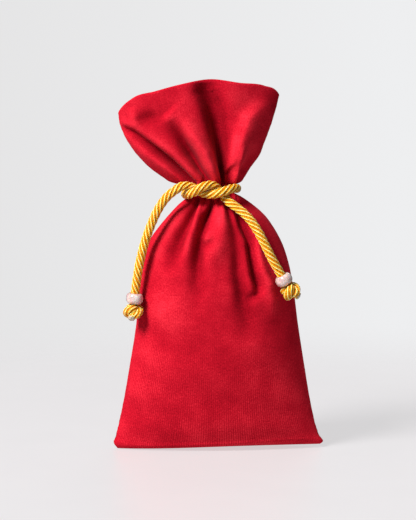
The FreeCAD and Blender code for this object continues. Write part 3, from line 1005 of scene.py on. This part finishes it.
def cut_end(name, end, heading, way):
    """The cut end of the cord: short strands round a pale core."""
    way = np.array(way) / np.linalg.norm(way)
    middle = end + heading * (KNOT_LENGTH / 2)
    stub = middle[None, :] + way[None, :] * np.linspace(STUB_FROM, STUB_TO, STUB_POINTS)[:, None]
    a, b = frames(stub)
    turning = -2 * math.pi * np.linspace(0, STUB_TWISTED, STUB_POINTS) / LAY_LENGTH
    made = rope(name, stub, a, b, turning, GOLD, STUB_STRAND_OFFSET, STUB_STRAND_RADIUS)
    disc = lathe(name + "_core", CORE_PROFILE, stub[-1], way, CORE, CORE_SIDES)
    draw = np.random.default_rng(CORE_SEED)
    for v in disc.data.vertices:
        v.co += Vector(draw.uniform(-CORE_FRAY, CORE_FRAY, 3)) * MM
    return made, disc


def pearl(name, end, heading):
    """A flattened bead with a bore, resting on the end knot."""
    profile = []
    for a in np.linspace(-BEAD_ARC, BEAD_ARC, BEAD_POINTS) * (math.pi / 2):
        profile.append((
            BEAD_BORE + (BEAD_HALF_WIDTH - BEAD_BORE) * max(0.0, math.cos(a)),
            BEAD_HALF_LENGTH * math.sin(a) / math.sin(BEAD_ARC * math.pi / 2),
        ))
    wall = BEAD_HALF_LENGTH * BEAD_WALL
    profile += [(BEAD_BORE, wall), (BEAD_BORE, 0), (BEAD_BORE, -wall)]
    bead_at = end - heading * (BEAD_HALF_LENGTH + BEAD_REST)
    made = lathe(name, profile, bead_at, heading, PEARL)
    smooth = made.modifiers.new("round", "SUBSURF")
    smooth.levels = smooth.render_levels = 1
    return made


def finish_tail(side, points, way, cord, turned):
    """The end knot, cut end and bead of one tail, each given its body; the tail's cord is baked in place.
    """
    end, heading = end_of(points)
    knot = end_knot(f"{side}_knot", end, heading, turned)
    tip, core = cut_end(f"{side}_cut_end", end, heading, way)
    bead = pearl(f"{side}_pearl", end, heading)
    body = f"{side}_tail"
    declare(knot, body, f"{side}_end_knot")
    declare(tip, body, f"{side}_cord_tip")
    declare(core, body, f"{side}_cord_tip")
    declare(bead, f"{side}_bead", f"{side}_bead")
    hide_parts(f"{side}_cord_tail")
    ahead = np.array(points[2]) - np.array(points[0])
    ahead = ahead / np.linalg.norm(ahead)
    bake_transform(cord)


declare(neck_cord, "pouch", "neck_cord")
finish_tail("left", LEFT_ROUTE, LEFT_TIP_WAY, left_cord, LEFT_KNOT_TURN)
finish_tail("right", RIGHT_ROUTE, RIGHT_TIP_WAY, right_cord, RIGHT_KNOT_TURN)

# ---------------------------------------------------------------- cloth
front = cloth_panel("pouch_front", -1, FRONT_VALLEYS, FRONT_RIDGES, FRONT_DENTS, FRONT_SEED, VELVET)
back = cloth_panel("pouch_back", 1, BACK_VALLEYS, BACK_RIDGES, BACK_DENTS, BACK_SEED, VELVET)
for panel, node_name in ((front, "front_panel"), (back, "back_panel")):
    declare(panel, "pouch", node_name)


# ---------------------------------------------------------------- filling and stitches
def filling_wad():
    """A lumpy wad inside the body of the pouch."""
    levels = np.linspace(*WAD_LEVELS, WAD_ROWS)
    middle, half, deep, _ = section_at(levels)
    ends = np.sin(np.linspace(WAD_END, math.pi - WAD_END, WAD_ROWS)) ** WAD_END_POWER
    turn = np.linspace(0, 2 * math.pi, WAD_COLUMNS, endpoint=False)[None, :]
    draw = np.random.default_rng(WAD_SEED)
    lumps = 0
    for k in WAD_LUMPS:
        size = draw.uniform(0.3, 1)
        start = draw.uniform(0, 6)
        slant = draw.uniform(0.05, 0.3)
        lumps = lumps + size * np.sin(k * turn + start + levels[:, None] * slant)
    swell = ends[:, None] * (1 + WAD_LUMP_SIZE * lumps)
    x = middle[:, None] + (half[:, None] - WAD_SIDE_GAP) * swell * np.cos(turn)
    y = (deep[:, None] - WAD_DEPTH_GAP) * swell * np.sin(turn)
    z = levels[:, None] + 0 * x
    points = np.stack([x, y, z], -1).reshape(-1, 3)
    index = np.arange(WAD_ROWS * WAD_COLUMNS).reshape(WAD_ROWS, WAD_COLUMNS)
    nxt = np.roll(index, -1, 1)
    quads = np.stack([index[:-1], nxt[:-1], nxt[1:], index[1:]], -1).reshape(-1, 4).tolist()
    quads += [index[0][::-1].tolist(), index[-1].tolist()]
    return new_object("wadding", points, quads, WAD)


wad = filling_wad()
declare(wad, "pouch", "filling")

for name in ("left_side_stitches", "right_side_stitches", "bottom_stitches", "hem_stitches"):
    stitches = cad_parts[name]
    for slot in stitches.material_slots:
        slot.material = THREAD
    if not stitches.material_slots:
        stitches.data.materials.append(THREAD)


# ---------------------------------------------------------------- room
def backdrop():
    """A plain background for the camera, and a dim light from all sides for everything else."""
    world = bpy.data.worlds.new("room")
    bpy.context.scene.world = world
    world.use_nodes = True
    tree = world.node_tree
    shade = next(n for n in tree.nodes if n.type == "BACKGROUND")
    toward = node(tree, "ShaderNodeSeparateXYZ", {0: node(tree, "ShaderNodeTexCoord").outputs["Generated"]})
    lean = map_range(tree, toward.outputs["X"], -BACKDROP_LEAN, BACKDROP_LEAN)
    set_inputs(tree, shade, {"Color": ramp_color(tree, lean, BACKDROP_STOPS), "Strength": 1.0})
    dim = node(tree, "ShaderNodeBackground", {"Color": (*ROOM_LIGHT, 1), "Strength": ROOM_STRENGTH})
    seen = node(tree, "ShaderNodeLightPath").outputs["Is Camera Ray"]
    mixed = node(tree, "ShaderNodeMixShader", {0: seen, 1: dim.outputs[0], 2: shade.outputs[0]})
    output = next(n for n in tree.nodes if n.type == "OUTPUT_WORLD")
    tree.links.new(mixed.outputs[0], output.inputs["Surface"])


def floor_disc():
    ring = []
    for a in np.linspace(0, 2 * math.pi, FLOOR_SIDES, endpoint=False):
        ring.append((FLOOR_RADIUS * math.cos(a), FLOOR_RADIUS * math.sin(a), 0))
    return new_object("floor", ring, [list(range(FLOOR_SIDES))], floor_material(), smooth=False)


def area_light(name, place, aim, size, power):
    light = bpy.data.lights.new(name, "AREA")
    light.shape = "DISK"
    light.size = size
    light.energy = power
    holder = bpy.data.objects.new(name, light)
    holder.location = place
    holder.rotation_euler = (Vector(aim) - Vector(place)).to_track_quat("-Z", "Y").to_euler()
    bpy.context.scene.collection.objects.link(holder)


def place_camera():
    camera = bpy.data.cameras.new("camera")
    camera.sensor_fit = "VERTICAL"
    camera.sensor_height = CAMERA_SENSOR
    camera.lens = CAMERA_SENSOR * CAMERA_AWAY / CAMERA_VIEW_HEIGHT
    camera.clip_start = CAMERA_CLIP
    holder = bpy.data.objects.new("camera", camera)
    level = math.cos(CAMERA_UP)
    away = Vector((math.sin(CAMERA_TURN) * level, -math.cos(CAMERA_TURN) * level, math.sin(CAMERA_UP)))
    holder.location = Vector(CAMERA_AIM) * MM + away * CAMERA_AWAY
    holder.rotation_euler = (-away).to_track_quat("-Z", "Y").to_euler()
    bpy.context.scene.collection.objects.link(holder)
    bpy.context.scene.camera = holder


backdrop()
floor_disc()
area_light("key", KEY_PLACE, LIGHT_AIM, KEY_SIZE, KEY_POWER)
area_light("back_fill", FILL_PLACE, LIGHT_AIM, FILL_SIZE, FILL_POWER)
place_camera()
bpy.context.scene.view_settings.view_transform = "Standard"
